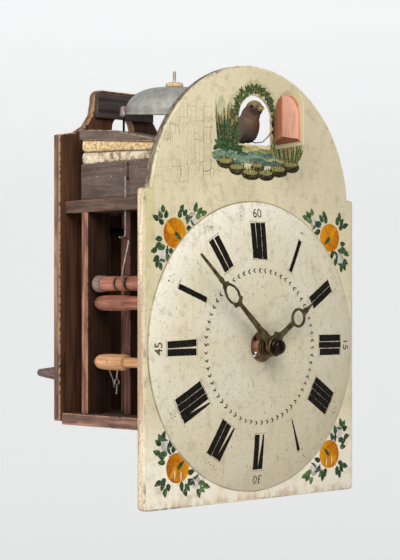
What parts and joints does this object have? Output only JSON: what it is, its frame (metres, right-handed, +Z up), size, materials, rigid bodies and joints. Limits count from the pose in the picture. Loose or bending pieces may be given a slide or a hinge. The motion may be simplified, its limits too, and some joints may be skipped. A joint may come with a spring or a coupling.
{
  "type": "shield clock",
  "caption": "Wall clock with an arched painted shield and domed dial, an open wooden frame movement behind it, a bell on top, bellows, and a small bird behind a door.",
  "frame": {"origin": "centre of the hanging hole at the back face of the backboard", "axes": "+X to the right facing the dial, +Y towards the wall, +Z up"},
  "size_m": [0.245, 0.2467, 0.364],
  "materials": {
    "cream_paint": "yellowed cream oil paint on wood, crackled",
    "aged_beech": "bare aged wood",
    "turned_wood": "plain and turned pale wood",
    "dark_softwood": "darkened softwood",
    "bellows_leather": "thin tan leather",
    "aged_brass": "dull aged brass",
    "iron_wire": "dark iron and wire",
    "cast_bell_metal": "grey cast bell metal",
    "red_door_paint": "salmon-red paint on wood",
    "painted_bird": "painted carved wood"
  },
  "bodies": {
    "case": {"backboard": "aged_beech", "crest_cleat": "aged_beech", "standoff_peg_left": "turned_wood", "standoff_peg_right": "turned_wood", "top_plate": "aged_beech", "bottom_plate": "aged_beech", "front_strip_left": "aged_beech", "front_strip_centre": "aged_beech", "front_strip_right": "aged_beech", "middle_strip_left": "aged_beech", "middle_strip_centre": "aged_beech", "middle_strip_right": "aged_beech", "back_strip_left": "aged_beech", "back_strip_centre": "aged_beech", "back_strip_right": "aged_beech", "shield": "cream_paint", "shield_batten_upper": "turned_wood", "shield_batten_lower": "turned_wood", "shield_peg_upper_left": "turned_wood", "shield_peg_upper_right": "turned_wood", "shield_peg_lower_left": "turned_wood", "shield_peg_lower_right": "turned_wood", "bell": "cast_bell_metal", "bell_collar": "turned_wood", "bell_rod": "iron_wire", "pipe_left": "dark_softwood", "pipe_right": "dark_softwood", "bellows_leather_left": "bellows_leather", "bellows_leather_right": "bellows_leather", "bird_rail": "turned_wood", "door_hinge_staple": "iron_wire", "centre_stud": "iron_wire", "motion_stud": "iron_wire"},
    "minute": {"minute_hand": "aged_brass", "minute_pipe": "aged_brass", "hand_washer": "aged_brass", "hand_nut": "iron_wire"},
    "hour": {"hour_hand": "aged_brass", "hour_wheel": "aged_brass"},
    "motion": {"motion_wheel": "aged_brass"},
    "going_great": {"going_great_wheel": "aged_brass"},
    "going_second": {"going_second_wheel": "aged_brass"},
    "escape": {"escape_wheel": "aged_brass"},
    "anchor_body": {"anchor": "iron_wire"},
    "strike_great": {"strike_great_wheel": "aged_brass"},
    "strike_pin": {"strike_pin_wheel": "aged_brass"},
    "strike_warning": {"strike_warning_wheel": "aged_brass"},
    "fly_body": {"fly": "aged_brass"},
    "lifting": {"lifting_arbor": "turned_wood"},
    "locking": {"locking_arbor": "turned_wood"},
    "count": {"count_arbor": "turned_wood"},
    "hammer_body": {"hammer": "iron_wire"},
    "lid_left": {"bellows_lid_left": "dark_softwood"},
    "lid_right": {"bellows_lid_right": "dark_softwood"},
    "lift": {"lift_wire": "iron_wire"},
    "bird_body": {"bird": "painted_bird", "bird_carriage": "turned_wood", "door_link": "iron_wire"},
    "door_body": {"door": "red_door_paint"}
  },
  "joints": [
    {"name": "going_great_turn", "type": "hinge", "parent": "case", "child": "going_great", "pos_m": [0, -0.114, -0.2115], "axis": [0, -1, 0], "continuous": true},
    {"name": "minute_turn", "type": "hinge", "parent": "case", "child": "minute", "pos_m": [0, -0.114, -0.1915], "axis": [0, -1, 0], "continuous": true},
    {"name": "hour_turn", "type": "hinge", "parent": "case", "child": "hour", "pos_m": [0, -0.114, -0.1915], "axis": [0, -1, 0], "continuous": true},
    {"name": "motion_turn", "type": "hinge", "parent": "case", "child": "motion", "pos_m": [0.01559, -0.114, -0.1825], "axis": [0, -1, 0], "continuous": true},
    {"name": "going_second_turn", "type": "hinge", "parent": "case", "child": "going_second", "pos_m": [0, -0.114, -0.17586], "axis": [0, -1, 0], "continuous": true},
    {"name": "escape_turn", "type": "hinge", "parent": "case", "child": "escape", "pos_m": [0, -0.114, -0.1494], "axis": [0, -1, 0], "continuous": true},
    {"name": "anchor_rock", "type": "hinge", "parent": "case", "child": "anchor_body", "pos_m": [0, -0.101, -0.1194], "axis": [0, -1, 0], "range_deg": [-3, 3]},
    {"name": "strike_great_turn", "type": "hinge", "parent": "case", "child": "strike_great", "pos_m": [0, -0.114, -0.2055], "axis": [0, -1, 0], "continuous": true},
    {"name": "strike_pin_turn", "type": "hinge", "parent": "case", "child": "strike_pin", "pos_m": [0, -0.114, -0.165], "axis": [0, -1, 0], "continuous": true},
    {"name": "strike_warning_turn", "type": "hinge", "parent": "case", "child": "strike_warning", "pos_m": [0, -0.114, -0.13969], "axis": [0, -1, 0], "continuous": true},
    {"name": "fly_turn", "type": "hinge", "parent": "case", "child": "fly_body", "pos_m": [0.01637, -0.114, -0.13024], "axis": [0, -1, 0], "continuous": true},
    {"name": "lifting_rock", "type": "hinge", "parent": "case", "child": "lifting", "pos_m": [-0.058, -0.062, -0.1391], "axis": [0, -1, 0], "range_deg": [0, 10]},
    {"name": "locking_rock", "type": "hinge", "parent": "case", "child": "locking", "pos_m": [-0.058, -0.062, -0.1556], "axis": [0, -1, 0], "range_deg": [0, 10]},
    {"name": "count_rock", "type": "hinge", "parent": "case", "child": "count", "pos_m": [-0.058, -0.062, -0.2059], "axis": [0, -1, 0], "range_deg": [0, 10]},
    {"name": "hammer_draw", "type": "hinge", "parent": "case", "child": "hammer_body", "pos_m": [-0.0217, -0.03397, -0.0935], "axis": [-1, 0, 0], "range_deg": [0, 8]},
    {"name": "bellows_left_lift", "type": "hinge", "parent": "case", "child": "lid_left", "pos_m": [-0.0475, -0.125, -0.02309], "axis": [1, 0, 0], "range_deg": [0, 9], "deforming": ["bellows_leather_left"]},
    {"name": "bellows_right_lift", "type": "hinge", "parent": "case", "child": "lid_right", "pos_m": [0.0475, -0.125, -0.02309], "axis": [1, 0, 0], "range_deg": [0, 9], "deforming": ["bellows_leather_right"]},
    {"name": "lift_wire_slide", "type": "slide", "parent": "case", "child": "lift", "axis": [0, 0, 1], "range_m": [0, 0.0065]},
    {"name": "bird_slide", "type": "slide", "parent": "case", "child": "bird_body", "axis": [0, 1, 0], "range_m": [0, 0.02]},
    {"name": "door_swing", "type": "hinge", "parent": "case", "child": "door_body", "pos_m": [0.0229, -0.1752, -0.0055], "axis": [0, 0, 1], "range_deg": [-75.01, 0]}
  ],
  "couplings": [
    {"joint": "minute_turn", "follows": "going_great_turn", "ratio": -1},
    {"joint": "motion_turn", "follows": "going_great_turn", "ratio": 0.33333},
    {"joint": "hour_turn", "follows": "going_great_turn", "ratio": -0.083333},
    {"joint": "going_second_turn", "follows": "going_great_turn", "ratio": -10},
    {"joint": "escape_turn", "follows": "going_great_turn", "ratio": 80},
    {"joint": "strike_pin_turn", "follows": "strike_great_turn", "ratio": -8},
    {"joint": "strike_warning_turn", "follows": "strike_great_turn", "ratio": 64},
    {"joint": "fly_turn", "follows": "strike_great_turn", "ratio": -384},
    {"joint": "lift_wire_slide", "follows": "bellows_left_lift", "m_per_rad": 0.04},
    {"joint": "door_swing", "follows": "bird_slide", "rad_per_m": -65.45}
  ]
}
